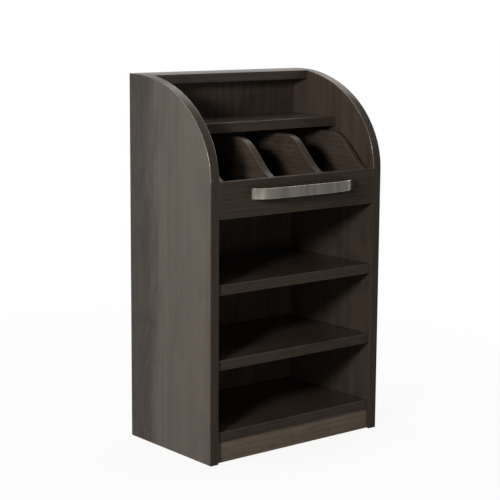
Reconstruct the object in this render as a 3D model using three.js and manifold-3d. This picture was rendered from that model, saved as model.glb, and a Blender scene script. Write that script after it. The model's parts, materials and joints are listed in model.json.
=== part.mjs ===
// Waiter service station: a cabinet with arched side panels, open bays, a divided drawer on
// telescopic runners and a board across its crown. Millimetres, +Z up, front towards -Y.
import * as THREE from "three";
import { mergeVertices } from "three/addons/utils/BufferGeometryUtils.js";
import Module from "manifold-3d";

const wasm = await Module();
wasm.setup();

// Clearance between pieces that meet, and the steps that round forms are divided into
const fitGap = 0.3;
const archSegments = 28;
const curveSegments = 14;
const edgeSegments = 2;
const roundSides = 12;

// Cabinet boards
const cabinetWidth = 700;
const cabinetDepth = 425;
const boardThickness = 32;
const boardEdgeRadius = 2;

// Heights, stacked from the floor up: glides, plinth, then the clear height of each bay
const glideHeight = 2;
const plinthHeight = 66;
const lowerBayHeight = 196;
const middleBayHeight = 203;
const upperBayHeight = 202;
const drawerBayHeight = 208;
const counterBayHeight = 118;

// Side panels: a quarter ellipse rises from the front edge to a short flat crown at the back
const archRise = 311;
const crownFlat = 26;

// Distances of the front edges behind the front edges of the side panels
const shelfRecess = 8;
const drawerShelfRecess = 1;
const topShelfSetback = 188;
const plinthRecess = 12;

const plinthThickness = 18;
const crownBoardDepth = 90;

// Back panel, held in grooves of the side panels and of the crown board
const backThickness = 8;
const backInset = 10;
const backGrooveDepth = 8;

// Dowels between the boards and the side panels
const dowelDiameter = 10;
const dowelLength = 40;
const shelfDowelInset = 60;
const crownDowelInset = 25;

// Glides nailed under the side panels
const glideDiameter = 22;
const glideInset = 40;
const glideNailDiameter = 3;
const glideNailLength = 16;

// Drawer
const drawerFrontThickness = 18;
const drawerFrontHeight = 82;
const drawerFrontLift = 1;
const drawerFrontReveal = 1.5;
const drawerEdgeRadius = 1.5;
const drawerWallThickness = 18;
const drawerWallLift = 6;
const drawerRearGap = 12;
const drawerBackThickness = 16;
const drawerBottomThickness = 8;
const drawerBottomRaise = 10;
const drawerGrooveDepth = 6;
const dividerThickness = 25;
const dividerNames = ["left", "right"];

// Wave on the top edge of the drawer walls and dividers: it leaves the drawer front at an
// angle and levels out at the crest. The pulls are the lengths of its tangents.
const crestClearance = 15;
const waveRun = 160;
const waveFootAngle = THREE.MathUtils.degToRad(22);
const waveFootPull = 60;
const waveCrestPull = 70;

// Runners: three nested steel channels on each side
const runnerSpace = 13;
const runnerHeight = 45;
const runnerSteel = 1.5;
const runnerPlay = 0.5;
const runnerFlange = 9.5;
const runnerAxisHeight = 43;
const runnerFrontGap = 3;
const runnerRearGap = 20;

// Bow handle: a flat band on two posts
const handleLength = 408;
const handleHeight = 33;
const handleThickness = 4;
const handleReach = 47;
const handleEndReach = 13;
const handleMiddlePull = 112;
const handleEndPull = 40;
const handleEndAngle = THREE.MathUtils.degToRad(66);
const handleEdgeRadius = 1;
const handleDrop = 1.5;
const postInset = 44;
const postDiameter = 12;
const screwDiameter = 4;
const screwHoleDiameter = 5;
const screwHeadDiameter = 8;
const screwHeadHeight = 2.5;
const screwEngagement = 10;

// Levels and widths that follow from the sizes above
const innerHalf = cabinetWidth / 2 - boardThickness;
const boardHalf = innerHalf - fitGap;
const bottomShelfZ = glideHeight + plinthHeight;
const lowerShelfZ = bottomShelfZ + boardThickness + lowerBayHeight;
const middleShelfZ = lowerShelfZ + boardThickness + middleBayHeight;
const drawerShelfZ = middleShelfZ + boardThickness + upperBayHeight;
const drawerFloorZ = drawerShelfZ + boardThickness;
const topShelfZ = drawerFloorZ + drawerBayHeight;
const crownBoardZ = topShelfZ + boardThickness + counterBayHeight;
const cabinetTop = crownBoardZ + boardThickness;
const archDepth = cabinetDepth - crownFlat;
const archSpringZ = cabinetTop - archRise;
const backRearY = cabinetDepth - backInset;
const backFrontY = backRearY - backThickness;
const shelfRearY = backFrontY - fitGap;

const wallHalf = innerHalf - runnerSpace;
const drawerInnerHalf = wallHalf - drawerWallThickness;
const wallFrontY = drawerFrontThickness + fitGap;
const drawerRearY = backFrontY - drawerRearGap;
const drawerFrontTop = drawerFrontLift + drawerFrontHeight;
const drawerBottomZ = drawerWallLift + drawerBottomRaise;
const compartmentFloorZ = drawerBottomZ + drawerBottomThickness;
const crestZ = drawerBayHeight - crestClearance;
const handleZ = drawerFrontLift + drawerFrontHeight / 2 - handleDrop;
const postSpacing = handleLength - 2 * postInset;

const wood = new THREE.MeshStandardMaterial({ color: 0x4a433d, roughness: 0.45, metalness: 0 });
const taupe = new THREE.MeshStandardMaterial({ color: 0x6a6158, roughness: 0.5, metalness: 0 });
const beech = new THREE.MeshStandardMaterial({ color: 0xc9a77b, roughness: 0.7, metalness: 0 });
const brushedSteel = new THREE.MeshStandardMaterial({ color: 0xb3aea6, roughness: 0.35, metalness: 1 });
const zinc = new THREE.MeshStandardMaterial({ color: 0xa9adb0, roughness: 0.4, metalness: 1 });
const plastic = new THREE.MeshStandardMaterial({ color: 0x1d1c1b, roughness: 0.6, metalness: 0 });

const xAxis = new THREE.Vector3(1, 0, 0);
const yAxis = new THREE.Vector3(0, 1, 0);
const zAxis = new THREE.Vector3(0, 0, 1);
const outlineInYZ = new THREE.Matrix4().makeBasis(yAxis, zAxis, xAxis);
const outlineInXZ = new THREE.Matrix4().makeBasis(xAxis, zAxis, yAxis.clone().negate());

const sides = [
  { name: "left", sign: -1 },
  { name: "right", sign: 1 },
];

const cabinet = new THREE.Group();
const drawer = new THREE.Group();
const handle = new THREE.Group();
cabinet.add(drawer);
drawer.add(handle);

function toSolid(geometry) {
  const bare = geometry.clone();
  bare.deleteAttribute("normal");
  bare.deleteAttribute("uv");
  const welded = mergeVertices(bare);
  const vertProperties = new Float32Array(welded.attributes.position.array);
  const triVerts = new Uint32Array(welded.index.array);
  return new wasm.Manifold(new wasm.Mesh({ numProp: 3, vertProperties, triVerts }));
}

function toGeometry(solid) {
  const { vertProperties, triVerts } = solid.getMesh();
  const geometry = new THREE.BufferGeometry();
  geometry.setAttribute("position", new THREE.BufferAttribute(vertProperties, 3));
  geometry.setIndex(new THREE.BufferAttribute(triVerts, 1));
  geometry.computeVertexNormals();
  return geometry;
}

// Adds one named piece to a group, with the cutters taken out of its blank
function addPiece(group, name, material, blank, position, cutters = []) {
  const solid = cutters.reduce((rest, cutter) => rest.subtract(toSolid(cutter)), toSolid(blank));
  const mesh = new THREE.Mesh(toGeometry(solid), material);
  mesh.name = name;
  mesh.position.set(...position);
  group.add(mesh);
}

function box(x0, x1, y0, y1, z0, z1) {
  const blank = new THREE.BoxGeometry(x1 - x0, y1 - y0, z1 - z0);
  return blank.translate((x0 + x1) / 2, (y0 + y1) / 2, (z0 + z1) / 2);
}

// Extrudes an outline with all its edges rounded
function roundedPlate(outline, thickness, radius, segments) {
  const blank = new THREE.ExtrudeGeometry(outline, {
    depth: thickness - 2 * radius,
    bevelThickness: radius,
    bevelSize: radius,
    bevelOffset: -radius,
    bevelSegments: edgeSegments,
    curveSegments: segments,
  });
  return blank.translate(0, 0, radius);
}

function rodAlongX(diameter, length) {
  return new THREE.CylinderGeometry(diameter / 2, diameter / 2, length, roundSides).rotateZ(Math.PI / 2);
}

function rodAlongY(diameter, length) {
  return new THREE.CylinderGeometry(diameter / 2, diameter / 2, length, roundSides);
}

function rodAlongZ(diameter, length) {
  return new THREE.CylinderGeometry(diameter / 2, diameter / 2, length, roundSides).rotateX(Math.PI / 2);
}

function dowelHole(x, y, z) {
  return rodAlongX(dowelDiameter + 2 * fitGap, dowelLength + 2 * fitGap).translate(x, y, z);
}

// The boards between the side panels, each with the Y of its dowels and the Z of its underside
const shelves = [
  { name: "bottom_shelf", z: bottomShelfZ, frontY: shelfRecess },
  { name: "lower_shelf", z: lowerShelfZ, frontY: shelfRecess },
  { name: "middle_shelf", z: middleShelfZ, frontY: shelfRecess },
  { name: "drawer_shelf", z: drawerShelfZ, frontY: drawerShelfRecess },
  { name: "top_shelf", z: topShelfZ, frontY: topShelfSetback },
];
const crownFrontY = cabinetDepth - crownBoardDepth;
const plinthMiddleY = plinthRecess + plinthThickness / 2;

const dowelJoints = shelves.flatMap(({ name, z, frontY }) => [
  { name: `${name}_front_dowel`, y: frontY + shelfDowelInset, z: z + boardThickness / 2 },
  { name: `${name}_rear_dowel`, y: shelfRearY - shelfDowelInset, z: z + boardThickness / 2 },
]);
dowelJoints.push(
  { name: "crown_board_front_dowel", y: crownFrontY + crownDowelInset, z: crownBoardZ + boardThickness / 2 },
  { name: "crown_board_rear_dowel", y: cabinetDepth - crownDowelInset, z: crownBoardZ + boardThickness / 2 },
  { name: "plinth_dowel", y: plinthMiddleY, z: glideHeight + plinthHeight / 2 },
);

const glideSpots = [
  { name: "front_glide", y: glideInset },
  { name: "rear_glide", y: cabinetDepth - glideInset },
];

// A shelf with a rounded front edge, drawn from its front lower edge and centred on X
function shelfBlank(depth) {
  const r = boardEdgeRadius;
  const outline = new THREE.Shape();
  outline.moveTo(depth, 0);
  outline.lineTo(r, 0);
  outline.absarc(r, r, r, -Math.PI / 2, -Math.PI, true);
  outline.absarc(r, boardThickness - r, r, Math.PI, Math.PI / 2, true);
  outline.lineTo(depth, boardThickness);
  return lengthOfBoard(outline, edgeSegments);
}

// Runs an outline drawn in Y and Z from one side panel to the other
function lengthOfBoard(outline, segments) {
  const settings = { depth: 2 * boardHalf, bevelEnabled: false, curveSegments: segments };
  const blank = new THREE.ExtrudeGeometry(outline, settings);
  return blank.translate(0, 0, -boardHalf).applyMatrix4(outlineInYZ);
}

// Holes for the dowels at both ends of a board, in the frame of that board
function endHoles(prefix, frontY, z) {
  const joints = dowelJoints.filter((joint) => joint.name.startsWith(prefix));
  return sides.flatMap(({ sign }) =>
    joints.map((joint) => dowelHole(sign * innerHalf, joint.y - frontY, joint.z - z)));
}

function addSidePanel({ name, sign }) {
  const outline = new THREE.Shape();
  outline.moveTo(0, glideHeight);
  outline.lineTo(cabinetDepth, glideHeight);
  outline.lineTo(cabinetDepth, cabinetTop);
  outline.absellipse(archDepth, archSpringZ, archDepth, archRise, Math.PI / 2, Math.PI, false);
  const panel = roundedPlate(outline, boardThickness, boardEdgeRadius, archSegments).applyMatrix4(outlineInYZ);
  panel.translate(sign > 0 ? 0 : -boardThickness, 0, 0);

  const grooveDepth = backGrooveDepth + fitGap;
  const backGroove = box(-grooveDepth, grooveDepth, backFrontY - fitGap, backRearY + fitGap,
    bottomShelfZ - fitGap, crownBoardZ + grooveDepth);
  const nailHoles = glideSpots.map(({ y }) =>
    rodAlongZ(glideNailDiameter + 2 * fitGap, 2 * glideNailLength).translate(sign * boardThickness / 2, y, glideHeight));
  const dowelHoles = dowelJoints.map((joint) => dowelHole(0, joint.y, joint.z));
  addPiece(cabinet, `${name}_side_panel`, wood, panel, [sign * innerHalf, 0, 0],
    [backGroove, ...nailHoles, ...dowelHoles]);
}

function addShelf({ name, z, frontY }) {
  const blank = shelfBlank(shelfRearY - frontY);
  addPiece(cabinet, name, wood, blank, [0, frontY, z], endHoles(name, frontY, z));
}

// The crown board's upper edge follows the arch of the side panels
function addCrownBoard() {
  const arcStart = Math.acos((crownFrontY - archDepth) / archDepth);
  const outline = new THREE.Shape();
  outline.moveTo(cabinetDepth, crownBoardZ);
  outline.lineTo(crownFrontY, crownBoardZ);
  outline.absellipse(archDepth, archSpringZ, archDepth, archRise, arcStart, Math.PI / 2, true);
  outline.lineTo(cabinetDepth, cabinetTop);
  const backGroove = box(-cabinetWidth, cabinetWidth, backFrontY - fitGap, backRearY + fitGap,
    crownBoardZ - boardThickness, crownBoardZ + backGrooveDepth + fitGap);
  const blank = lengthOfBoard(outline, curveSegments);
  addPiece(cabinet, "crown_board", wood, blank, [0, 0, 0], [backGroove, ...endHoles("crown_board", 0, 0)]);
}

function addBackPanel() {
  const half = innerHalf + backGrooveDepth;
  const panel = box(-half, half, backFrontY, backRearY, bottomShelfZ, crownBoardZ + backGrooveDepth);
  addPiece(cabinet, "back_panel", wood, panel, [0, 0, 0]);
}

function addPlinth() {
  const board = box(-boardHalf, boardHalf, plinthRecess, plinthRecess + plinthThickness,
    glideHeight, bottomShelfZ - fitGap);
  addPiece(cabinet, "plinth_board", taupe, board, [0, 0, 0], endHoles("plinth", 0, 0));
}

function addDowelsAndGlides({ name, sign }) {
  for (const joint of dowelJoints) {
    const dowel = rodAlongX(dowelDiameter, dowelLength);
    addPiece(cabinet, `${joint.name}_${name}`, beech, dowel, [sign * innerHalf, joint.y, joint.z]);
  }
  for (const spot of glideSpots) {
    const discTop = glideHeight - fitGap;
    const nailTop = glideHeight + glideNailLength - fitGap;
    const profile = [
      [0, 0],
      [glideDiameter / 2, 0],
      [glideDiameter / 2, discTop],
      [glideNailDiameter / 2, discTop],
      [glideNailDiameter / 2, nailTop],
      [0, nailTop],
    ].map((point) => new THREE.Vector2(...point));
    const glide = new THREE.LatheGeometry(profile, roundSides).rotateX(Math.PI / 2);
    const x = sign * (innerHalf + boardThickness / 2);
    addPiece(cabinet, `${spot.name}_${name}`, plastic, glide, [x, spot.y, 0]);
  }
}

// Outline of a drawer wall or divider in Y and Z, from its front end to a given rear end
function waveOutline(bottomZ, rearY) {
  const crestY = wallFrontY + waveRun;
  const footPullY = wallFrontY + waveFootPull * Math.cos(waveFootAngle);
  const footPullZ = drawerFrontTop + waveFootPull * Math.sin(waveFootAngle);
  const outline = new THREE.Shape();
  outline.moveTo(wallFrontY, bottomZ);
  outline.lineTo(wallFrontY, drawerFrontTop);
  outline.bezierCurveTo(footPullY, footPullZ, crestY - waveCrestPull, crestZ, crestY, crestZ);
  outline.lineTo(rearY, crestZ);
  outline.lineTo(rearY, bottomZ);
  return outline;
}

function waveBoard(bottomZ, rearY, thickness) {
  const blank = roundedPlate(waveOutline(bottomZ, rearY), thickness, drawerEdgeRadius, curveSegments);
  return blank.applyMatrix4(outlineInYZ).translate(-thickness / 2, 0, 0);
}

// The slot that the drawer bottom sits in, cut from the front and from both walls
function bottomSlot() {
  const half = drawerInnerHalf + drawerGrooveDepth + fitGap;
  return box(-half, half, drawerFrontThickness - drawerGrooveDepth - fitGap, cabinetDepth,
    drawerBottomZ - fitGap, compartmentFloorZ + fitGap);
}

function addDrawerFront() {
  const half = innerHalf - drawerFrontReveal;
  const outline = new THREE.Shape();
  outline.moveTo(-half, drawerFrontLift);
  outline.lineTo(half, drawerFrontLift);
  outline.lineTo(half, drawerFrontTop);
  outline.lineTo(-half, drawerFrontTop);
  const blank = roundedPlate(outline, drawerFrontThickness, drawerEdgeRadius, edgeSegments);
  blank.applyMatrix4(outlineInXZ).translate(0, drawerFrontThickness, 0);
  const screwHoles = sides.map(({ sign }) =>
    rodAlongY(screwHoleDiameter, 4 * drawerFrontThickness).translate(sign * postSpacing / 2, 0, handleZ));
  addPiece(drawer, "drawer_front", wood, blank, [0, 0, 0], [bottomSlot(), ...screwHoles]);
}

function addDrawerBox() {
  for (const { name, sign } of sides) {
    const x = sign * (wallHalf - drawerWallThickness / 2);
    const wall = waveBoard(drawerWallLift, drawerRearY, drawerWallThickness);
    addPiece(drawer, `drawer_${name}_wall`, wood, wall, [x, 0, 0], [bottomSlot().translate(-x, 0, 0)]);
  }
  const bottomHalf = drawerInnerHalf + drawerGrooveDepth;
  const bottom = box(-bottomHalf, bottomHalf, drawerFrontThickness - drawerGrooveDepth, drawerRearY,
    drawerBottomZ, compartmentFloorZ);
  addPiece(drawer, "drawer_bottom", wood, bottom, [0, 0, 0]);

  const backHalf = drawerInnerHalf - fitGap;
  const back = box(-backHalf, backHalf, drawerRearY - drawerBackThickness, drawerRearY,
    compartmentFloorZ + fitGap, crestZ);
  addPiece(drawer, "drawer_back", wood, back, [0, 0, 0]);
}

function addDividers() {
  const count = dividerNames.length;
  const clearWidth = (2 * drawerInnerHalf - count * dividerThickness) / (count + 1);
  const rearY = drawerRearY - drawerBackThickness - fitGap;
  dividerNames.forEach((name, index) => {
    const x = -drawerInnerHalf + (index + 1) * clearWidth + (index + 0.5) * dividerThickness;
    const divider = waveBoard(compartmentFloorZ + fitGap, rearY, dividerThickness);
    addPiece(drawer, `drawer_${name}_divider`, wood, divider, [x, 0, 0]);
  });
}

// A channel section in X and Z: its web stands at x = 0 and its flanges reach to one side
function channelBlank(height, flange, direction, length) {
  const half = height / 2;
  const inner = half - runnerSteel;
  const outline = new THREE.Shape([
    [0, -half],
    [flange, -half],
    [flange, -inner],
    [runnerSteel, -inner],
    [runnerSteel, inner],
    [flange, inner],
    [flange, half],
    [0, half],
  ].map(([x, z]) => new THREE.Vector2(direction * x, z)));
  const blank = new THREE.ExtrudeGeometry(outline, { depth: length, bevelEnabled: false });
  return blank.applyMatrix4(outlineInXZ).translate(0, length, 0);
}

function addRunner({ name, sign }) {
  const frontY = drawerFrontThickness + runnerFrontGap;
  const length = drawerRearY - runnerRearGap - frontY;
  const step = runnerSteel + runnerPlay;
  const middleX = innerHalf - fitGap - step;
  const drawerX = wallHalf + fitGap;
  const drawerFlange = middleX - runnerSteel - runnerPlay - drawerX;
  const z = drawerFloorZ + runnerAxisHeight;

  const cabinetMember = channelBlank(runnerHeight, runnerFlange, -sign, length);
  const middleMember = channelBlank(runnerHeight - 2 * step, runnerFlange - runnerPlay, -sign, length);
  const drawerMember = channelBlank(runnerHeight - 4 * step, drawerFlange, sign, length);
  addPiece(cabinet, `${name}_runner_cabinet_member`, zinc, cabinetMember, [sign * (innerHalf - fitGap), frontY, z]);
  addPiece(cabinet, `${name}_runner_middle_member`, zinc, middleMember, [sign * middleX, frontY, z]);
  addPiece(drawer, `${name}_runner_drawer_member`, zinc, drawerMember, [sign * drawerX, frontY, runnerAxisHeight]);
}

// One long side of the handle band in plan, from its left end to its right end: the outer side
// or, with an inset, a side at that distance from it
function bowCurve(inset) {
  const end = new THREE.Vector2(handleLength / 2, -handleEndReach);
  const pull = new THREE.Vector2(Math.cos(handleEndAngle), Math.sin(handleEndAngle)).multiplyScalar(handleEndPull);
  const endToMiddle = new THREE.CubicBezierCurve(
    end,
    end.clone().sub(pull),
    new THREE.Vector2(handleMiddlePull, -handleReach),
    new THREE.Vector2(0, -handleReach),
  );
  const rightHalf = Array.from({ length: curveSegments + 1 }, (_, index) => {
    const along = endToMiddle.getTangent(index / curveSegments);
    const inward = new THREE.Vector2(along.y, -along.x);
    return endToMiddle.getPoint(index / curveSegments).addScaledVector(inward, inset);
  });
  const leftHalf = rightHalf.map(({ x, y }) => new THREE.Vector2(-x, y));
  return [...leftHalf, ...rightHalf.reverse().slice(1)];
}

function addHandle() {
  const bandOutline = new THREE.Shape([...bowCurve(0), ...bowCurve(handleThickness).reverse()]);
  const band = roundedPlate(bandOutline, handleHeight, handleEdgeRadius, curveSegments);
  addPiece(handle, "handle_bow", brushedSteel, band.translate(0, 0, -handleHeight / 2), [0, 0, 0]);

  const ahead = sides.map(({ sign }) => new THREE.Vector2(sign * handleLength / 2, -2 * handleReach));
  const bandSpace = new THREE.Shape([...ahead, ...bowCurve(handleThickness + fitGap).reverse()]);
  const bandCutter = new THREE.ExtrudeGeometry(bandSpace, { depth: handleHeight, bevelEnabled: false });
  bandCutter.translate(0, 0, -handleHeight / 2);
  for (const { name, sign } of sides) {
    const x = sign * postSpacing / 2;
    const post = rodAlongY(postDiameter, handleReach).translate(0, -handleReach / 2 - fitGap, 0);
    const screwHole = rodAlongY(screwDiameter + 2 * fitGap, 2 * (screwEngagement + fitGap));
    addPiece(handle, `handle_${name}_post`, brushedSteel, post, [x, 0, 0],
      [bandCutter.clone().translate(-x, 0, 0), screwHole]);

    const headY = drawerFrontThickness + fitGap;
    const shaft = screwEngagement + headY;
    const profile = [
      [0, 0],
      [screwDiameter / 2, 0],
      [screwDiameter / 2, shaft],
      [screwHeadDiameter / 2, shaft],
      [screwHeadDiameter / 2, shaft + screwHeadHeight],
      [0, shaft + screwHeadHeight],
    ].map((point) => new THREE.Vector2(...point));
    const screw = new THREE.LatheGeometry(profile, roundSides).translate(0, -screwEngagement, 0);
    addPiece(handle, `handle_${name}_screw`, zinc, screw, [x, 0, 0]);
  }
}

sides.forEach(addSidePanel);
shelves.forEach(addShelf);
addCrownBoard();
addBackPanel();
addPlinth();
sides.forEach(addDowelsAndGlides);
addDrawerFront();
addDrawerBox();
addDividers();
sides.forEach(addRunner);
addHandle();

// The frame's origin lies on the floor, midway between the handle's face and the back
cabinet.position.y = (handleReach - cabinetDepth) / 2;
drawer.position.z = drawerFloorZ;
handle.position.z = handleZ;

export default cabinet;
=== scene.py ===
"""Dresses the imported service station: smoked-oak boards, steel handle, runners, stage and camera."""
import json
import math

import bpy
from mathutils import Matrix, Vector

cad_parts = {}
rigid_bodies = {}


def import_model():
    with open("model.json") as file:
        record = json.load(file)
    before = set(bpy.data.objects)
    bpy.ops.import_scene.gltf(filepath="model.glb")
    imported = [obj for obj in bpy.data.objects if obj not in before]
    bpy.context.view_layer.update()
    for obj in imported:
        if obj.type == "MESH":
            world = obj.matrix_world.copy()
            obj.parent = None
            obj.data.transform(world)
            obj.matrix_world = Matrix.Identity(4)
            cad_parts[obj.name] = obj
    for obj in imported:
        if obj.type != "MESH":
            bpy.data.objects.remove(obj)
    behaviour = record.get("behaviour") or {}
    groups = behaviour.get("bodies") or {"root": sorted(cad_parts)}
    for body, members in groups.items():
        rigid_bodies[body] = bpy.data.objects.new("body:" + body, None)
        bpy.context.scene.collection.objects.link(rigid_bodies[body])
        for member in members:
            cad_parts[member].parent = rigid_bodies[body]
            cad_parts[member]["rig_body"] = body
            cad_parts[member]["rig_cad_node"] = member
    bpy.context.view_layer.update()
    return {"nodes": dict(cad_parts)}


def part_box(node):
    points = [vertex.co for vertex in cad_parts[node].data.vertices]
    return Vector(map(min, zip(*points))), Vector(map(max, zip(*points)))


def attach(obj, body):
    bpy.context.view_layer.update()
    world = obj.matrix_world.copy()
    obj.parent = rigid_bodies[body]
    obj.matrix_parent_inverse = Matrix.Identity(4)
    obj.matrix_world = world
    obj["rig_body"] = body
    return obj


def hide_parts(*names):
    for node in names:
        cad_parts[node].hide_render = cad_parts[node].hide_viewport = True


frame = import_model()

bl_info = {
    "name": "Service Station Finish",
    "version": (1, 0, 0),
    "blender": (4, 5, 0),
    "location": "View3D > Sidebar > Station",
    "description": "Gives a waiter service station its boards, fittings and studio stage",
    "category": "Object",
}

SIDES = ("left", "right")
SHELVES = ("bottom_shelf", "lower_shelf", "middle_shelf", "drawer_shelf", "top_shelf")

# Boards of the cabinet and of the drawer, with the axes of their grain and of their thickness
CABINET_BOARDS = {
    **dict.fromkeys(SHELVES, "XZ"),
    "crown_board": "XZ",
    "back_panel": "ZY",
}
DRAWER_BOARDS = {
    "drawer_front": "XY",
    "drawer_left_wall": "YX",
    "drawer_right_wall": "YX",
    "drawer_back": "XY",
    "drawer_bottom": "XZ",
    "drawer_left_divider": "YX",
    "drawer_right_divider": "YX",
}

# Body that each runner member rides on
RUNNER_BODIES = {"cabinet": "cabinet", "middle": "runner_middle", "drawer": "drawer"}

# Centre of the quarter ellipse on the side panels, as distances from their back and top, and its mean radius
ARCH_CENTRE_FROM_BACK = 0.026
ARCH_RISE = 0.311
ARCH_MEAN_RADIUS = 0.36

# Seeds that give each board its own stretch of grain; panels, boards and drawer count on from theirs
GRAIN_SEEDS = {
    "panels": 0,
    "arch_band": 3,
    "arch_round": 4,
    "boards": 5,
    "front_band": 12,
    "plinth": 13,
    "drawer": 15,
}
SEED_STEP = Vector((0.37, 0.61, 0.83))

# Specular levels of the laminate, how much smoother its polished places are, and how much lighter the rounds
# of the boards and the edges of the handle are made as painted highlights
GLOSS = {
    "plain": 0.04,
    "panel": 0.22,
    "arch_band": 0.07,
    "arch_round": 0.65,
    "crown": 0.09,
    "shelf_top": 0.35,
    "board_round": 0.1,
    "drawer_round": 0.2,
}
SHELF_TOP_POLISH = 0.12
ROUND_POLISH = 0.08
ROUND_HIGHLIGHT_LIGHTENING = 1.25
HANDLE_EDGE_HIGHLIGHT_LIGHTENING = 2.6

# Y where the left panel starts to darken towards the back and where the darkening is full, and how far its
# border wanders
BACK_DARKENING = (0.085, 0.14)
BACK_DARKENING_WANDER = 0.1

# Parts of a face's normal along its board's thickness: above the first it is one of the board's two faces,
# below the second it is a square edge, and between them it is a rounded edge
FLAT_NORMAL = 0.97
EDGE_NORMAL = 0.15

# Parts of a normal towards the back and along a screw, above which a face is at the back or a screw's end
BACK_NORMAL = 0.2
CAP_NORMAL = 0.9

MERGE_DISTANCE = 1e-6
SHARP_ANGLE = math.radians(40)
BOARD_SMOOTH_ANGLE = math.radians(50)
SCREW_SMOOTH_ANGLE = math.radians(35)

# Proportions of a screw: its dome to the head's height, the slot cutter's length and width to the head's
# radius and its height to the head's, and the tip's length and width to the shank's
SCREW_DOME = 0.7
SCREW_SLOT = (1.1, 0.24, 0.9)
SCREW_TIP_LENGTH = 0.15
SCREW_TIP_WIDTH = 0.6

# Irregular point beside a screw, from which no two of its faces are equally far
SORT_POINT = (0.0131, 0.0077, 0.0053)

# Where each lamp stands: the way to it from its aim, its distance, and its width and height
LAMPS = {
    "key_softbox": ((-1.9, -1.0, 0.72), 4.0, (0.55, 0.55)),
    "side_softbox": ((-0.9, 0.4, 0.08), 4.0, (2.4, 2.0)),
    "low_strip": ((-0.53, -0.85, -0.03), 2.5, (4.0, 0.25)),
    "top_softbox": ((-0.5, 0.05, 0.85), 3.0, (1.2, 1.2)),
    "right_softbox": ((1.0, 0.0, 0.43), 3.5, (2.2, 1.0)),
    "high_softbox": ((0.62, 0.38, 0.68), 8.0, (3.6, 3.6)),
}
LAMP_AIM = (0, 0, 0.6)
STRIP_AIM = (0, 0, 0.5)
WHITE = (1, 1, 1, 1)

# Floor: its radius, its grey for bounced light and for the eye, and the share of white glow that the eye
# sees, which grows between two distances from the station so that only the shadow beside it stays
FLOOR_RADIUS = 9.0
FLOOR_BOUNCE = 0.15
FLOOR_SEEN = 0.9
FLOOR_FADE = (0.3, 2.6)
FLOOR_GLOW = (0.9, 1.0)

SENSOR_WIDTH = 36
VIEW_DEPTH = 60


class StationFinish(bpy.types.PropertyGroup):
    """Colours and roughness of the station's materials."""

    wood_light: bpy.props.FloatVectorProperty(
        name="Wood light", description="Lighter tone of the smoked oak",
        subtype="COLOR", size=3, min=0, max=1, default=(0.080, 0.063, 0.051))
    wood_dark: bpy.props.FloatVectorProperty(
        name="Wood dark", description="Darker tone of the smoked oak",
        subtype="COLOR", size=3, min=0, max=1, default=(0.062, 0.048, 0.039))
    wood_roughness: bpy.props.FloatProperty(
        name="Wood roughness", description="Roughness of the satin laminate",
        subtype="FACTOR", min=0, max=1, default=0.3)
    taupe_light: bpy.props.FloatVectorProperty(
        name="Taupe light", description="Lighter tone of the plinth",
        subtype="COLOR", size=3, min=0, max=1, default=(0.25, 0.2, 0.152))
    taupe_dark: bpy.props.FloatVectorProperty(
        name="Taupe dark", description="Darker tone of the plinth",
        subtype="COLOR", size=3, min=0, max=1, default=(0.186, 0.147, 0.11))
    # The steel is tinted far darker than bare steel, as painted shade for the dim surroundings that the
    # handle mirrors
    steel: bpy.props.FloatVectorProperty(
        name="Brushed steel", description="Tint of the handle",
        subtype="COLOR", size=3, min=0, max=1, default=(0.13, 0.117, 0.104))
    zinc: bpy.props.FloatVectorProperty(
        name="Zinc", description="Tint of the runners and screws",
        subtype="COLOR", size=3, min=0, max=1, default=(0.3, 0.315, 0.33))
    beech: bpy.props.FloatVectorProperty(
        name="Beech", description="Colour of the dowels",
        subtype="COLOR", size=3, min=0, max=1, default=(0.58, 0.39, 0.2))
    plastic: bpy.props.FloatVectorProperty(
        name="Glide plastic", description="Colour of the glides",
        subtype="COLOR", size=3, min=0, max=1, default=(0.012, 0.011, 0.011))


class StationFittings(bpy.types.PropertyGroup):
    """Sizes of the screws and of the runners' sheet steel."""

    head_diameter: bpy.props.FloatProperty(
        name="Screw head", description="Diameter of a runner screw's head",
        unit="LENGTH", min=0.002, default=0.0066)
    head_height: bpy.props.FloatProperty(
        name="Head height", description="Height of a runner screw's head",
        unit="LENGTH", min=0.0005, default=0.002)
    shank_diameter: bpy.props.FloatProperty(
        name="Shank", description="Diameter of a runner screw's shank",
        unit="LENGTH", min=0.001, default=0.003)
    shank_length: bpy.props.FloatProperty(
        name="Shank length", description="Length of a runner screw under its head",
        unit="LENGTH", min=0.001, default=0.0014)
    screws_per_runner: bpy.props.IntProperty(
        name="Screws per runner", description="Screws along each drawer runner", min=1, default=3)
    handle_shank_diameter: bpy.props.FloatProperty(
        name="Handle shank", description="Diameter of a handle screw's shank",
        unit="LENGTH", min=0.001, default=0.0038)
    runner_sheet: bpy.props.FloatProperty(
        name="Runner sheet", description="Thickness of the runners' steel",
        unit="LENGTH", min=0.0005, default=0.0015)
    runner_softening: bpy.props.FloatProperty(
        name="Runner softening", description="Width of the bevel on the runners' edges",
        unit="LENGTH", min=0.0, default=0.0003)


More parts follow.
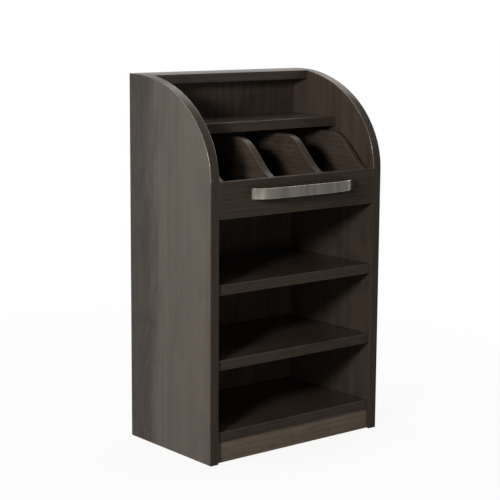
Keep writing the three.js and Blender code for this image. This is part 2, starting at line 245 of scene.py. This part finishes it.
class StationStage(bpy.types.PropertyGroup):
    """Camera and lamps. A lamp's level of 1 shows a colour that faces it as the colour is written."""

    camera_place: bpy.props.FloatVectorProperty(
        name="Camera place", description="Where the camera stands",
        subtype="TRANSLATION", size=3, default=(-3.01347, -3.65481, 1.42726))
    heading: bpy.props.FloatProperty(
        name="Heading", description="Turn of the camera from straight ahead to the right",
        subtype="ANGLE", default=0.68209)
    pitch: bpy.props.FloatProperty(
        name="Pitch", description="Tilt of the camera above the horizon", subtype="ANGLE", default=-0.16961)
    roll: bpy.props.FloatProperty(
        name="Roll", description="Turn of the camera about its own axis", subtype="ANGLE", default=0.00674)
    lens: bpy.props.FloatProperty(
        name="Lens", description="Focal length for a 36 mm sensor", unit="CAMERA", default=106.474)
    ambient: bpy.props.FloatProperty(
        name="Ambient", description="Even light from all round", default=0.035)
    key_level: bpy.props.FloatProperty(
        name="Key light", description="Level of the lamp at the front left", default=0.55)
    side_level: bpy.props.FloatProperty(
        name="Side light", description="Level of the lamp on the left", default=0.5)
    strip_level: bpy.props.FloatProperty(
        name="Low strip", description="Level of the low lamp that the handle mirrors", default=0.1)
    top_level: bpy.props.FloatProperty(
        name="Top light", description="Level of the overhead lamp", default=0.18)
    right_level: bpy.props.FloatProperty(
        name="Right light", description="Level of the lamp on the right", default=0.42)
    high_level: bpy.props.FloatProperty(
        name="High light", description="Level of the high lamp that shines back from the arches",
        default=0.25)
    lamp_tint: bpy.props.FloatVectorProperty(
        name="Lamp tint", description="Colour of the lamps in front of and above the station",
        subtype="COLOR", size=3, min=0, max=1, default=(1.0, 0.93, 0.86))
    side_tint: bpy.props.FloatVectorProperty(
        name="Side tint", description="Colour of the lamp on the left",
        subtype="COLOR", size=3, min=0, max=1, default=(0.94, 1.0, 0.95))


def deselect_all():
    """Leaves object mode with nothing selected."""
    if bpy.context.object and bpy.context.object.mode != "OBJECT":
        bpy.ops.object.mode_set(mode="OBJECT")
    bpy.ops.object.select_all(action="DESELECT")


def take(piece):
    """Makes one object the only selected and the active one."""
    deselect_all()
    piece.select_set(True)
    bpy.context.view_layer.objects.active = piece


def pick_faces(piece, wanted):
    """Enters edit mode with the faces selected that the test wants."""
    take(piece)
    bpy.ops.object.mode_set(mode="EDIT")
    bpy.ops.mesh.select_mode(type="FACE")
    bpy.ops.mesh.select_all(action="DESELECT")
    bpy.ops.object.mode_set(mode="OBJECT")
    for face in piece.data.polygons:
        face.select = wanted(face)
    bpy.ops.object.mode_set(mode="EDIT")


def apply_modifier(piece, kind, **values):
    """Adds one modifier with its values and applies it."""
    take(piece)
    modifier = piece.modifiers.new(kind.title(), kind)
    for key, value in values.items():
        setattr(modifier, key, value)
    bpy.ops.object.modifier_apply(modifier=modifier.name)


def sort_faces():
    """Sorts the edges and faces in edit mode, because a boolean leaves them in another order at each run."""
    bpy.ops.mesh.select_all(action="SELECT")
    bpy.context.scene.cursor.location = SORT_POINT
    bpy.ops.mesh.sort_elements(type="CURSOR_DISTANCE", elements={"EDGE", "FACE"})
    bpy.context.scene.cursor.location = (0, 0, 0)


def finished(piece, body, slot, *nodes):
    """Puts a finished piece on its body, in place of the nodes that it stands for."""
    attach(piece, body)
    if nodes:
        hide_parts(*nodes)
    return piece


def merged_copy(node, name, body, slot, materials, softened=0.0, across=None):
    """A smooth-shaded copy of a node, with its doubles merged and its sharp edges softened.
    Across is a board's thickness axis: its rounded edges then take the last material."""
    take(frame["nodes"][node])
    bpy.ops.object.duplicate()
    piece = bpy.context.object
    piece.name = piece.data.name = name
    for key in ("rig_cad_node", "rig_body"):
        del piece[key]
    bpy.ops.object.mode_set(mode="EDIT")
    bpy.ops.mesh.select_all(action="SELECT")
    bpy.ops.mesh.customdata_custom_splitnormals_clear()
    bpy.ops.mesh.remove_doubles(threshold=MERGE_DISTANCE)
    bpy.ops.mesh.tris_convert_to_quads()
    bpy.ops.object.mode_set(mode="OBJECT")
    if softened:
        apply_modifier(piece, "BEVEL", width=softened, segments=2, limit_method="ANGLE",
                       angle_limit=SHARP_ANGLE)
    piece.data.materials.clear()
    for material in materials:
        piece.data.materials.append(material)
    if across:
        axis = "XYZ".index(across)
        for face in piece.data.polygons:
            rounded = EDGE_NORMAL < abs(face.normal[axis]) < FLAT_NORMAL
            face.material_index = len(materials) - 1 if rounded else 0
    take(piece)
    bpy.ops.object.shade_smooth_by_angle(angle=BOARD_SMOOTH_ANGLE)
    apply_modifier(piece, "WEIGHTED_NORMAL", weight=100, keep_sharp=True)
    return finished(piece, body, slot, node)


class Recipe:
    """A new material with short ways to add and join its nodes."""

    # Places of the colour sockets among a Mix node's inputs and outputs
    MIX_FACTOR, MIX_FIRST, MIX_SECOND = 0, 6, 7
    MIX_COLOUR = 2

    def __init__(self, name):
        self.material = bpy.data.materials.new(name)
        self.material.use_nodes = True
        self.tree = self.material.node_tree
        self.shader = self.tree.nodes["Principled BSDF"]
        self.place = self.add("ShaderNodeTexCoord").outputs["Object"]

    def add(self, kind, settings=None, **inputs):
        """Adds a node; each input is a value or another node's output."""
        node = self.tree.nodes.new(kind)
        for key, value in (settings or {}).items():
            setattr(node, key, value)
        for key, value in inputs.items():
            self.put(node.inputs[key], value)
        return node

    def put(self, socket, value):
        """Sets a socket, or links an output to it."""
        if isinstance(value, bpy.types.NodeSocket):
            self.tree.links.new(value, socket)
        else:
            socket.default_value = value

    def set(self, **inputs):
        """Sets or links sockets of the shader, with _ for a space in their names."""
        for key, value in inputs.items():
            self.put(self.shader.inputs[key.replace("_", " ")], value)
        return self.material

    def stretched(self, scale, offset=(0, 0, 0)):
        """The place on the piece, moved and stretched."""
        node = self.add("ShaderNodeMapping", Vector=self.place, Location=offset, Scale=scale)
        return node.outputs["Vector"]

    def noise(self, scale, offset=(0, 0, 0), detail=3.0, roughness=0.5, distortion=0.0):
        """A noise pattern on the stretched place."""
        node = self.add("ShaderNodeTexNoise", Vector=self.stretched(scale, offset), Scale=1.0, Detail=detail,
                        Roughness=roughness, Distortion=distortion)
        return node.outputs["Fac"]

    def ramp(self, factor, *stops):
        """Colours along a factor; each stop is its place and a grey or a colour."""
        node = self.add("ShaderNodeValToRGB", Fac=factor)
        elements = node.color_ramp.elements
        while len(elements) < len(stops):
            elements.new(1.0)
        for element, (position, colour) in zip(elements, stops):
            element.position = position
            element.color = (*(colour if hasattr(colour, "__len__") else (colour,) * 3), 1.0)
        return node.outputs["Color"]

    def multiply(self, first, second, factor=1.0):
        """Two colours multiplied."""
        node = self.add("ShaderNodeMix", {"data_type": "RGBA", "blend_type": "MULTIPLY"})
        self.put(node.inputs[self.MIX_FACTOR], factor)
        self.put(node.inputs[self.MIX_FIRST], first)
        self.put(node.inputs[self.MIX_SECOND], second)
        return node.outputs[self.MIX_COLOUR]

    def spread(self, factor, low, high):
        """A factor spread over a range of values."""
        node = self.add("ShaderNodeMapRange", Value=factor, **{"To Min": low, "To Max": high})
        return node.outputs["Result"]

    def between(self, value, start, end):
        """0 where a value is at the start, 1 where it is at the end."""
        node = self.add("ShaderNodeMapRange", Value=value, **{"From Min": start, "From Max": end})
        return node.outputs["Result"]

    def math(self, operation, *values):
        """A sum on values."""
        node = self.add("ShaderNodeMath", {"operation": operation})
        for socket, value in zip(node.inputs, values):
            self.put(socket, value)
        return node.outputs[0]

    def bump(self, height, distance, strength):
        """A bump from a height pattern."""
        node = self.add("ShaderNodeBump", Height=height, Distance=distance, Strength=strength)
        return node.outputs["Normal"]


def shade(tint, factor):
    """A tint made darker or lighter."""
    return [factor * part for part in tint]


def along_arch(recipe):
    """Turns the place into one that runs round the arch of a side panel, so that grain follows its edge."""
    top_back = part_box("left_side_panel")[1]
    axes = recipe.add("ShaderNodeSeparateXYZ", Vector=recipe.place).outputs
    above = recipe.math("SUBTRACT", axes["Z"], top_back.z - ARCH_RISE)
    ahead = recipe.math("SUBTRACT", top_back.y - ARCH_CENTRE_FROM_BACK, axes["Y"])
    run = recipe.math("MULTIPLY", recipe.math("ARCTAN2", above, ahead), ARCH_MEAN_RADIUS)
    recipe.place = recipe.add("ShaderNodeCombineXYZ", X=axes["X"], Z=run).outputs["Vector"]


def laminate(name, grain, seed, light, dark, roughness, gloss=GLOSS["plain"], heart=None, round_arch=False):
    """Satin oak laminate: broad tone, rings, streaks, fibres, dark pores and clouds along the grain."""
    recipe = Recipe(name)
    if round_arch:
        along_arch(recipe)
    axis = "XYZ".index(grain)
    offset = SEED_STEP * (seed + 1)

    def scale(across, along):
        return [along if i == axis else across for i in range(3)]

    tone = recipe.noise(scale(9, 0.8), offset, detail=4, roughness=0.6, distortion=0.5)
    cloud = recipe.noise(scale(7, 2.6), offset * 1.7, detail=3, roughness=0.55, distortion=1.4)
    fibre = recipe.noise(scale(420, 5), offset * 2.1, detail=5, roughness=0.65)
    streak = recipe.noise(scale(46, 1.6), offset * 1.2, detail=4, roughness=0.6, distortion=0.3)
    pore = recipe.noise(scale(640, 22), offset * 2.9, detail=2, roughness=0.5)
    wave = recipe.add("ShaderNodeTexWave", {"wave_type": "RINGS", "rings_direction": grain},
                      Vector=recipe.stretched(scale(5.5, 0.45), offset * 0.9), Scale=4.0, Distortion=5.0,
                      Detail=3.0, **{"Detail Scale": 1.2, "Detail Roughness": 0.6})
    rings = wave.outputs["Fac"]

    colour = recipe.ramp(tone, (0.3, dark), (0.7, light))
    colour = recipe.multiply(colour, recipe.ramp(rings, (0.0, 0.8), (0.55, 1.0), (1.0, 1.05)), factor=0.5)
    colour = recipe.multiply(colour, recipe.ramp(streak, (0.32, 0.9), (0.66, 1.06)))
    colour = recipe.multiply(colour, recipe.ramp(fibre, (0.3, 0.88), (0.68, 1.07)))
    colour = recipe.multiply(colour, recipe.ramp(pore, (0.58, 1.0), (0.7, 0.66)))
    colour = recipe.multiply(colour, recipe.ramp(cloud, (0.56, 1.0), (0.74, 0.74)))
    # Left panel only: darker towards the back, with darker blotches there
    if heart:
        y = recipe.add("ShaderNodeSeparateXYZ", Vector=recipe.place).outputs["Y"]
        wander = recipe.math("MULTIPLY", recipe.math("SUBTRACT", cloud, 0.5), BACK_DARKENING_WANDER)
        band = recipe.between(recipe.math("ADD", y, wander), *heart)
        dark_blotch_noise = recipe.noise(scale(17, 5), offset * 1.3, detail=4, roughness=0.6, distortion=2.2)
        colour = recipe.multiply(colour, recipe.ramp(band, (0.0, 1.0), (1.0, (0.46, 0.4, 0.34))))
        dark_blotches = recipe.ramp(dark_blotch_noise, (0.42, 1.0), (0.64, (0.6, 0.52, 0.46)))
        colour = recipe.multiply(colour, dark_blotches, factor=band)

    pits = recipe.spread(recipe.ramp(pore, (0.6, 0.0), (0.72, 1.0)), 0.0, 0.6)
    relief = recipe.math("SUBTRACT", recipe.math("MULTIPLY", fibre, 0.35), pits)
    return recipe.set(
        Base_Color=colour,
        Roughness=recipe.spread(fibre, roughness - 0.07, roughness + 0.09),
        Normal=recipe.bump(relief, distance=0.0002, strength=0.35),
        Specular_IOR_Level=gloss)


def smoked_oak(name, grain, seed, polish=0.0, **more):
    """The dark laminate of the boards, smoother by its polish."""
    finish = bpy.context.scene.station_finish
    return laminate(name, grain, seed, tuple(finish.wood_light), tuple(finish.wood_dark),
                    finish.wood_roughness - polish, **more)


def rounded_edge(name, grain, seed, **more):
    """The lacquered round of a board's edge band: smoother than its faces, and a little lighter as a painted
    highlight.
    """
    finish = bpy.context.scene.station_finish
    # The round's lighter tones are a painted highlight along the edge
    return laminate(name, grain, seed, shade(finish.wood_light, ROUND_HIGHLIGHT_LIGHTENING),
                    shade(finish.wood_dark, ROUND_HIGHLIGHT_LIGHTENING), finish.wood_roughness - ROUND_POLISH, **more)


def brushed_steel(name, tint):
    """Satin metal with upright brush lines, and faint light and dark columns painted in as reflected bands.
    """
    recipe = Recipe(name)
    lines = recipe.noise((900, 900, 7), detail=4, roughness=0.65)
    # The columns are painted reflection: lighter and darker stripes across the handle
    columns = recipe.noise((42, 3, 1.5), (0.2, 0, 0), detail=3, roughness=0.6)
    colour = recipe.ramp(columns, (0.32, shade(tint, 0.74)), (0.68, shade(tint, 1.18)))
    return recipe.set(
        Base_Color=recipe.multiply(colour, recipe.ramp(lines, (0.25, 0.86), (0.75, 1.1))),
        Metallic=1.0,
        Anisotropic=0.75,
        Roughness=recipe.spread(lines, 0.17, 0.3),
        Normal=recipe.bump(lines, distance=0.00008, strength=0.3))


def zinc_plate(name):
    """Bright zinc with a faint spangle and rolling lines along the runner."""
    tint = tuple(bpy.context.scene.station_finish.zinc)
    recipe = Recipe(name)
    cells = recipe.add("ShaderNodeTexVoronoi", Vector=recipe.stretched((160, 90, 160)), Scale=1.0)
    spangle = recipe.add("ShaderNodeRGBToBW", Color=cells.outputs["Color"]).outputs["Val"]
    lines = recipe.noise((700, 6, 700), detail=4)
    colour = recipe.ramp(spangle, (0.0, shade(tint, 0.85)), (1.0, shade(tint, 1.12)))
    return recipe.set(
        Base_Color=recipe.multiply(colour, recipe.ramp(lines, (0.3, 0.9), (0.7, 1.05))),
        Metallic=1.0,
        Roughness=recipe.spread(spangle, 0.26, 0.4),
        Normal=recipe.bump(lines, distance=0.00005, strength=0.2))


def raw_beech(name):
    """Pale beech with short flecks along the dowel."""
    tint = tuple(bpy.context.scene.station_finish.beech)
    recipe = Recipe(name)
    fleck = recipe.noise((60, 700, 700), detail=3)
    tone = recipe.noise((12, 60, 60), detail=2)
    colour = recipe.ramp(tone, (0.3, shade(tint, 0.85)), (0.7, tint))
    return recipe.set(
        Base_Color=recipe.multiply(colour, recipe.ramp(fleck, (0.35, 0.75), (0.6, 1.0))),
        Roughness=recipe.spread(fleck, 0.62, 0.78),
        Normal=recipe.bump(fleck, distance=0.0001, strength=0.4))


def moulded_plastic(name):
    """Black plastic with a fine moulded texture."""
    tint = tuple(bpy.context.scene.station_finish.plastic)
    recipe = Recipe(name)
    texture = recipe.noise((1500, 1500, 1500), detail=2)
    return recipe.set(
        Base_Color=recipe.ramp(texture, (0.3, shade(tint, 0.8)), (0.7, shade(tint, 1.4))),
        Roughness=recipe.spread(texture, 0.42, 0.58),
        Normal=recipe.bump(texture, distance=0.00006, strength=0.4))


def pan_screw(head_diameter, head_height, shank_diameter, shank_length, material):
    """A screw at the origin, its domed and cross-slotted head towards +Z and its shank below."""
    radius = head_diameter / 2
    deselect_all()
    bpy.ops.mesh.primitive_cylinder_add(
        vertices=28, radius=radius, depth=head_height, location=(0, 0, head_height / 2))
    screw = bpy.context.object
    bpy.ops.object.transform_apply()
    pick_faces(screw, lambda face: face.normal.z > CAP_NORMAL)
    bpy.ops.mesh.bevel(offset=SCREW_DOME * head_height, segments=4, affect="EDGES")
    bpy.ops.object.mode_set(mode="OBJECT")

    length, width, height = SCREW_SLOT
    for turn in (0, math.pi / 2):
        deselect_all()
        bpy.ops.mesh.primitive_cube_add(size=1, location=(0, 0, head_height))
        slot = bpy.context.object
        slot.scale = (length * radius, width * radius, height * head_height)
        slot.rotation_euler.z = turn
        bpy.ops.object.transform_apply()
        apply_modifier(screw, "BOOLEAN", object=slot, operation="DIFFERENCE", solver="EXACT")
        bpy.data.objects.remove(slot)

    tip = SCREW_TIP_LENGTH * shank_length
    pick_faces(screw, lambda face: face.normal.z < -CAP_NORMAL and face.center.z < 1e-5)
    bpy.ops.mesh.inset(thickness=radius - shank_diameter / 2)
    bpy.ops.mesh.extrude_region_move(TRANSFORM_OT_translate={"value": (0, 0, tip - shank_length)})
    bpy.ops.mesh.extrude_region_move(TRANSFORM_OT_translate={"value": (0, 0, -tip)})
    bpy.ops.transform.resize(
        value=(SCREW_TIP_WIDTH, SCREW_TIP_WIDTH, 1), center_override=(0, 0, -shank_length))
    sort_faces()
    bpy.ops.object.mode_set(mode="OBJECT")
    bpy.ops.object.shade_smooth_by_angle(angle=SCREW_SMOOTH_ANGLE)
    screw.data.materials.append(material)
    return screw


def placed_copy(screw, name, point, direction):
    """A copy of a screw with its head turned to a direction and the seat of its head at a point."""
    take(screw)
    bpy.ops.object.duplicate()
    copy = bpy.context.object
    copy.name = copy.data.name = name
    copy.rotation_euler = Vector((0, 0, 1)).rotation_difference(Vector(direction)).to_euler()
    copy.location = point
    bpy.ops.object.transform_apply()
    return copy


class STATION_OT_side_panels(bpy.types.Operator):
    """Finishes the arched side panels, with the grain of the edge band following the arch"""
    bl_idname = "station.side_panels"
    bl_label = "Side Panels"

    def execute(self, context):
        arch = smoked_oak("arch_edge_band", "Z", GRAIN_SEEDS["arch_band"], round_arch=True,
                          gloss=GLOSS["arch_band"])
        front = smoked_oak("panel_front_band", "Z", GRAIN_SEEDS["front_band"])
        rim = rounded_edge("arch_edge_round", "Z", GRAIN_SEEDS["arch_round"], round_arch=True,
                           gloss=GLOSS["arch_round"])
        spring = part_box("left_side_panel")[1].z - ARCH_RISE
        for seed, side in enumerate(SIDES, GRAIN_SEEDS["panels"]):
            heart = BACK_DARKENING if side == "left" else None
            face_wood = smoked_oak(f"{side}_panel_oak", "Z", seed, heart=heart, gloss=GLOSS["panel"])
            piece = merged_copy(f"{side}_side_panel", f"{side}_side_panel_finished", "cabinet", "dark_wood",
                                (face_wood, arch, front, rim), across="X")
            # The straight edges take the front band with their rounds, and the arch takes the arch band
            for face in piece.data.polygons:
                sideways = abs(face.normal.x)
                if sideways < FLAT_NORMAL and (face.center.z < spring or face.normal.y > BACK_NORMAL):
                    face.material_index = 2
                elif sideways < EDGE_NORMAL:
                    face.material_index = 1
        return {"FINISHED"}


class STATION_OT_boards(bpy.types.Operator):
    """Finishes the shelves with their polished tops, the crown board and the back panel"""
    bl_idname = "station.boards"
    bl_label = "Shelves and Back"

    def execute(self, context):
        for seed, (node, (grain, across)) in enumerate(CABINET_BOARDS.items(), GRAIN_SEEDS["boards"]):
            gloss = GLOSS["crown" if node == "crown_board" else "plain"]
            face_wood = smoked_oak(f"{node}_oak", grain, seed, gloss=gloss)
            edge = rounded_edge(f"{node}_round", grain, seed, gloss=GLOSS["board_round"])
            name = f"{node}_finished"
            if node not in SHELVES:
                merged_copy(node, name, "cabinet", "dark_wood", (face_wood, edge), across=across)
                continue
            top = smoked_oak(f"{node}_top", grain, seed, polish=SHELF_TOP_POLISH, gloss=GLOSS["shelf_top"])
            piece = merged_copy(node, name, "cabinet", "dark_wood", (face_wood, top, edge), across=across)
            for face in piece.data.polygons:
                if face.normal.z > FLAT_NORMAL:
                    face.material_index = 1
        return {"FINISHED"}


class STATION_OT_plinth(bpy.types.Operator):
    """Finishes the taupe plinth board"""
    bl_idname = "station.plinth"
    bl_label = "Plinth"

    def execute(self, context):
        finish = context.scene.station_finish
        wood = laminate("plinth_taupe", "X", GRAIN_SEEDS["plinth"], tuple(finish.taupe_light),
                        tuple(finish.taupe_dark), finish.wood_roughness)
        merged_copy("plinth_board", "plinth_board_finished", "cabinet", "taupe_board", (wood,))
        return {"FINISHED"}


class STATION_OT_drawer(bpy.types.Operator):
    """Finishes the drawer front, the wave-topped walls and dividers, the back and the bottom"""
    bl_idname = "station.drawer"
    bl_label = "Drawer"

    def execute(self, context):
        for seed, (node, (grain, across)) in enumerate(DRAWER_BOARDS.items(), GRAIN_SEEDS["drawer"]):
            face_wood = smoked_oak(f"{node}_oak", grain, seed)
            edge = rounded_edge(f"{node}_round", grain, seed, gloss=GLOSS["drawer_round"])
            merged_copy(node, f"{node}_finished", "drawer", "dark_wood", (face_wood, edge), across=across)
        return {"FINISHED"}


class STATION_OT_handle(bpy.types.Operator):
    """Finishes the bow handle and its posts, and makes the screws that hold them"""
    bl_idname = "station.handle"
    bl_label = "Handle"

    def execute(self, context):
        tint = tuple(context.scene.station_finish.steel)
        steel = brushed_steel("handle_steel", tint)
        # The rounded top and bottom edges of the handle take a much lighter steel, as a painted highlight
        polished = brushed_steel("handle_edge_highlight_steel", shade(tint, HANDLE_EDGE_HIGHLIGHT_LIGHTENING))
        zinc = zinc_plate("handle_screw_zinc")
        merged_copy("handle_bow", "handle_bow_finished", "drawer", "brushed_steel", (steel, polished),
                    across="Z")

        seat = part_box("drawer_front")[1].y
        low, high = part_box("handle_left_screw")
        shank_diameter = context.scene.station_fittings.handle_shank_diameter
        screw = pan_screw(high.x - low.x, high.y - seat, shank_diameter, seat - low.y, zinc)
        for side in SIDES:
            post = f"handle_{side}_post"
            merged_copy(post, f"{post}_finished", "drawer", "brushed_steel", (steel,))
            node = f"handle_{side}_screw"
            low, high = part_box(node)
            point = ((low.x + high.x) / 2, seat, (low.z + high.z) / 2)
            copy = placed_copy(screw, f"{node}_finished", point, (0, 1, 0))
            finished(copy, "drawer", "zinc_steel", node)
        bpy.data.objects.remove(screw)
        return {"FINISHED"}


class STATION_OT_runners(bpy.types.Operator):
    """Finishes the three members of each runner and adds the screws of the drawer members"""
    bl_idname = "station.runners"
    bl_label = "Runners"

    def execute(self, context):
        fittings = context.scene.station_fittings
        zinc = zinc_plate("runner_zinc")
        screw = pan_screw(fittings.head_diameter, fittings.head_height, fittings.shank_diameter,
                          fittings.shank_length, zinc)
        for side, sign in zip(SIDES, (-1, 1)):
            for member, body in RUNNER_BODIES.items():
                node = f"{side}_runner_{member}_member"
                merged_copy(node, f"{node}_finished", body, "zinc_steel", (zinc,),
                            softened=fittings.runner_softening)
            low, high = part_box(f"{side}_runner_drawer_member")
            web = min(abs(low.x), abs(high.x)) + fittings.runner_sheet
            for i in range(fittings.screws_per_runner):
                along = low.y + (high.y - low.y) * (i + 0.5) / fittings.screws_per_runner
                point = (sign * web, along, (low.z + high.z) / 2)
                copy = placed_copy(screw, f"{side}_runner_screw_{i + 1}", point, (sign, 0, 0))
                finished(copy, "drawer", "zinc_steel")
        bpy.data.objects.remove(screw)
        return {"FINISHED"}


class STATION_OT_dowels_and_glides(bpy.types.Operator):
    """Gives the dowels their beech and the glides their plastic"""
    bl_idname = "station.dowels_and_glides"
    bl_label = "Dowels and Glides"

    def execute(self, context):
        finishes = {"_dowel_": raw_beech("dowel_beech"), "_glide_": moulded_plastic("glide_black")}
        for node, piece in frame["nodes"].items():
            for part, material in finishes.items():
                if part in node:
                    piece.data.materials.clear()
                    piece.data.materials.append(material)
        return {"FINISHED"}


class STATION_OT_stage(bpy.types.Operator):
    """Sets the pale floor, the soft studio lamps, the white surroundings and the camera"""
    bl_idname = "station.stage"
    bl_label = "Stage"

    def seen_white(self, tree):
        """1 for rays that show the background, straight, mirrored or through something clear."""
        path = tree.nodes.new("ShaderNodeLightPath").outputs
        either = path["Is Camera Ray"]
        for name in ("Is Glossy Ray", "Is Transmission Ray"):
            node = tree.nodes.new("ShaderNodeMath")
            node.operation = "MAXIMUM"
            tree.links.new(either, node.inputs[0])
            tree.links.new(path[name], node.inputs[1])
            either = node.outputs[0]
        return either

    def world(self, ambient):
        """Surroundings that look white and shine only by the ambient level."""
        world = bpy.context.scene.world or bpy.data.worlds.new("studio")
        bpy.context.scene.world = world
        world.use_nodes = True
        tree = world.node_tree
        tree.nodes.clear()
        seen, dim = (tree.nodes.new("ShaderNodeBackground") for _ in range(2))
        seen.inputs["Color"].default_value = WHITE
        dim.inputs["Color"].default_value = WHITE
        dim.inputs["Strength"].default_value = ambient
        mix = tree.nodes.new("ShaderNodeMixShader")
        tree.links.new(self.seen_white(tree), mix.inputs[0])
        tree.links.new(dim.outputs[0], mix.inputs[1])
        tree.links.new(seen.outputs[0], mix.inputs[2])
        output = tree.nodes.new("ShaderNodeOutputWorld")
        tree.links.new(mix.outputs[0], output.inputs["Surface"])

    def floor(self):
        """A round floor that looks white and keeps the station's shadow."""
        deselect_all()
        bpy.ops.mesh.primitive_circle_add(vertices=96, radius=FLOOR_RADIUS, fill_type="NGON")
        floor = bpy.context.object
        floor.name = floor.data.name = "studio_floor"
        recipe = Recipe("pale_floor")
        seen = self.seen_white(recipe.tree)
        recipe.set(
            Base_Color=recipe.ramp(seen, (0.0, FLOOR_BOUNCE), (1.0, FLOOR_SEEN)),
            Roughness=0.9,
            Specular_IOR_Level=0.1)
        distance = recipe.add("ShaderNodeVectorMath", {"operation": "LENGTH"})
        recipe.put(distance.inputs[0], recipe.place)
        share = recipe.spread(recipe.between(distance.outputs["Value"], *FLOOR_FADE), *FLOOR_GLOW)
        glow = recipe.add("ShaderNodeEmission", Color=WHITE, Strength=1.0)
        mix = recipe.add("ShaderNodeMixShader")
        recipe.put(mix.inputs[0], recipe.math("MULTIPLY", seen, share))
        recipe.put(mix.inputs[1], recipe.shader.outputs[0])
        recipe.put(mix.inputs[2], glow.outputs[0])
        recipe.put(recipe.tree.nodes["Material Output"].inputs["Surface"], mix.outputs[0])
        floor.data.materials.append(recipe.material)

    def lamp(self, name, level, tint, aim=LAMP_AIM):
        """An area lamp at which a level of 1 shows a facing matt colour as it is written."""
        towards, distance, size = LAMPS[name]
        deselect_all()
        place = Vector(aim) + Vector(towards).normalized() * distance
        bpy.ops.object.light_add(type="AREA", location=place)
        lamp = bpy.context.object
        lamp.name = lamp.data.name = name
        lamp.rotation_euler = (Vector(aim) - place).to_track_quat("-Z", "Y").to_euler()
        lamp.data.shape = "RECTANGLE"
        lamp.data.size, lamp.data.size_y = size
        lamp.data.energy = level * (math.pi * distance) ** 2
        lamp.data.color = tint
        lamp.visible_camera = False

    def camera(self, stage):
        """The camera at the photograph's viewing angle."""
        forward = Vector((math.sin(stage.heading) * math.cos(stage.pitch),
                          math.cos(stage.heading) * math.cos(stage.pitch), math.sin(stage.pitch)))
        level = Vector((math.cos(stage.heading), -math.sin(stage.heading), 0))
        upright = level.cross(forward)
        right = math.cos(stage.roll) * level + math.sin(stage.roll) * upright
        up = math.cos(stage.roll) * upright - math.sin(stage.roll) * level
        turn = Matrix((right, up, -forward)).transposed()
        deselect_all()
        bpy.ops.object.camera_add(location=stage.camera_place, rotation=turn.to_euler())
        camera = bpy.context.object
        camera.name = camera.data.name = "studio_camera"
        camera.data.lens = stage.lens
        camera.data.sensor_width = SENSOR_WIDTH
        camera.data.clip_end = VIEW_DEPTH
        bpy.context.scene.camera = camera

    def execute(self, context):
        stage = context.scene.station_stage
        context.scene.view_settings.view_transform = "Standard"
        self.world(stage.ambient)
        self.floor()
        self.lamp("key_softbox", stage.key_level, stage.lamp_tint)
        self.lamp("side_softbox", stage.side_level, stage.side_tint)
        self.lamp("low_strip", stage.strip_level, stage.lamp_tint, aim=STRIP_AIM)
        self.lamp("top_softbox", stage.top_level, stage.lamp_tint)
        self.lamp("right_softbox", stage.right_level, WHITE[:3])
        self.lamp("high_softbox", stage.high_level, stage.lamp_tint)
        self.camera(stage)
        return {"FINISHED"}


class STATION_PT_panel(bpy.types.Panel):
    """Lists the station's finishes and the steps that dress it"""
    bl_idname = "STATION_PT_panel"
    bl_label = "Service Station"
    bl_space_type = "VIEW_3D"
    bl_region_type = "UI"
    bl_category = "Station"

    def draw(self, context):
        for name, kind in GROUPS.items():
            box = self.layout.box()
            for key in kind.__annotations__:
                box.prop(getattr(context.scene, name), key)
        for step in STEPS:
            self.layout.operator(step.bl_idname)


GROUPS = {"station_finish": StationFinish, "station_fittings": StationFittings, "station_stage": StationStage}
STEPS = (STATION_OT_side_panels, STATION_OT_boards, STATION_OT_plinth, STATION_OT_drawer, STATION_OT_handle,
         STATION_OT_runners, STATION_OT_dowels_and_glides, STATION_OT_stage)
CLASSES = (*GROUPS.values(), *STEPS, STATION_PT_panel)


def register():
    for kind in CLASSES:
        bpy.utils.register_class(kind)
    for name, kind in GROUPS.items():
        setattr(bpy.types.Scene, name, bpy.props.PointerProperty(type=kind))


def unregister():
    for name in GROUPS:
        delattr(bpy.types.Scene, name)
    for kind in reversed(CLASSES):
        bpy.utils.unregister_class(kind)


def main():
    register()
    bpy.ops.station.side_panels()
    bpy.ops.station.boards()
    bpy.ops.station.plinth()
    bpy.ops.station.drawer()
    bpy.ops.station.handle()
    bpy.ops.station.runners()
    bpy.ops.station.dowels_and_glides()
    bpy.ops.station.stage()


if __name__ == "__main__":
    main()
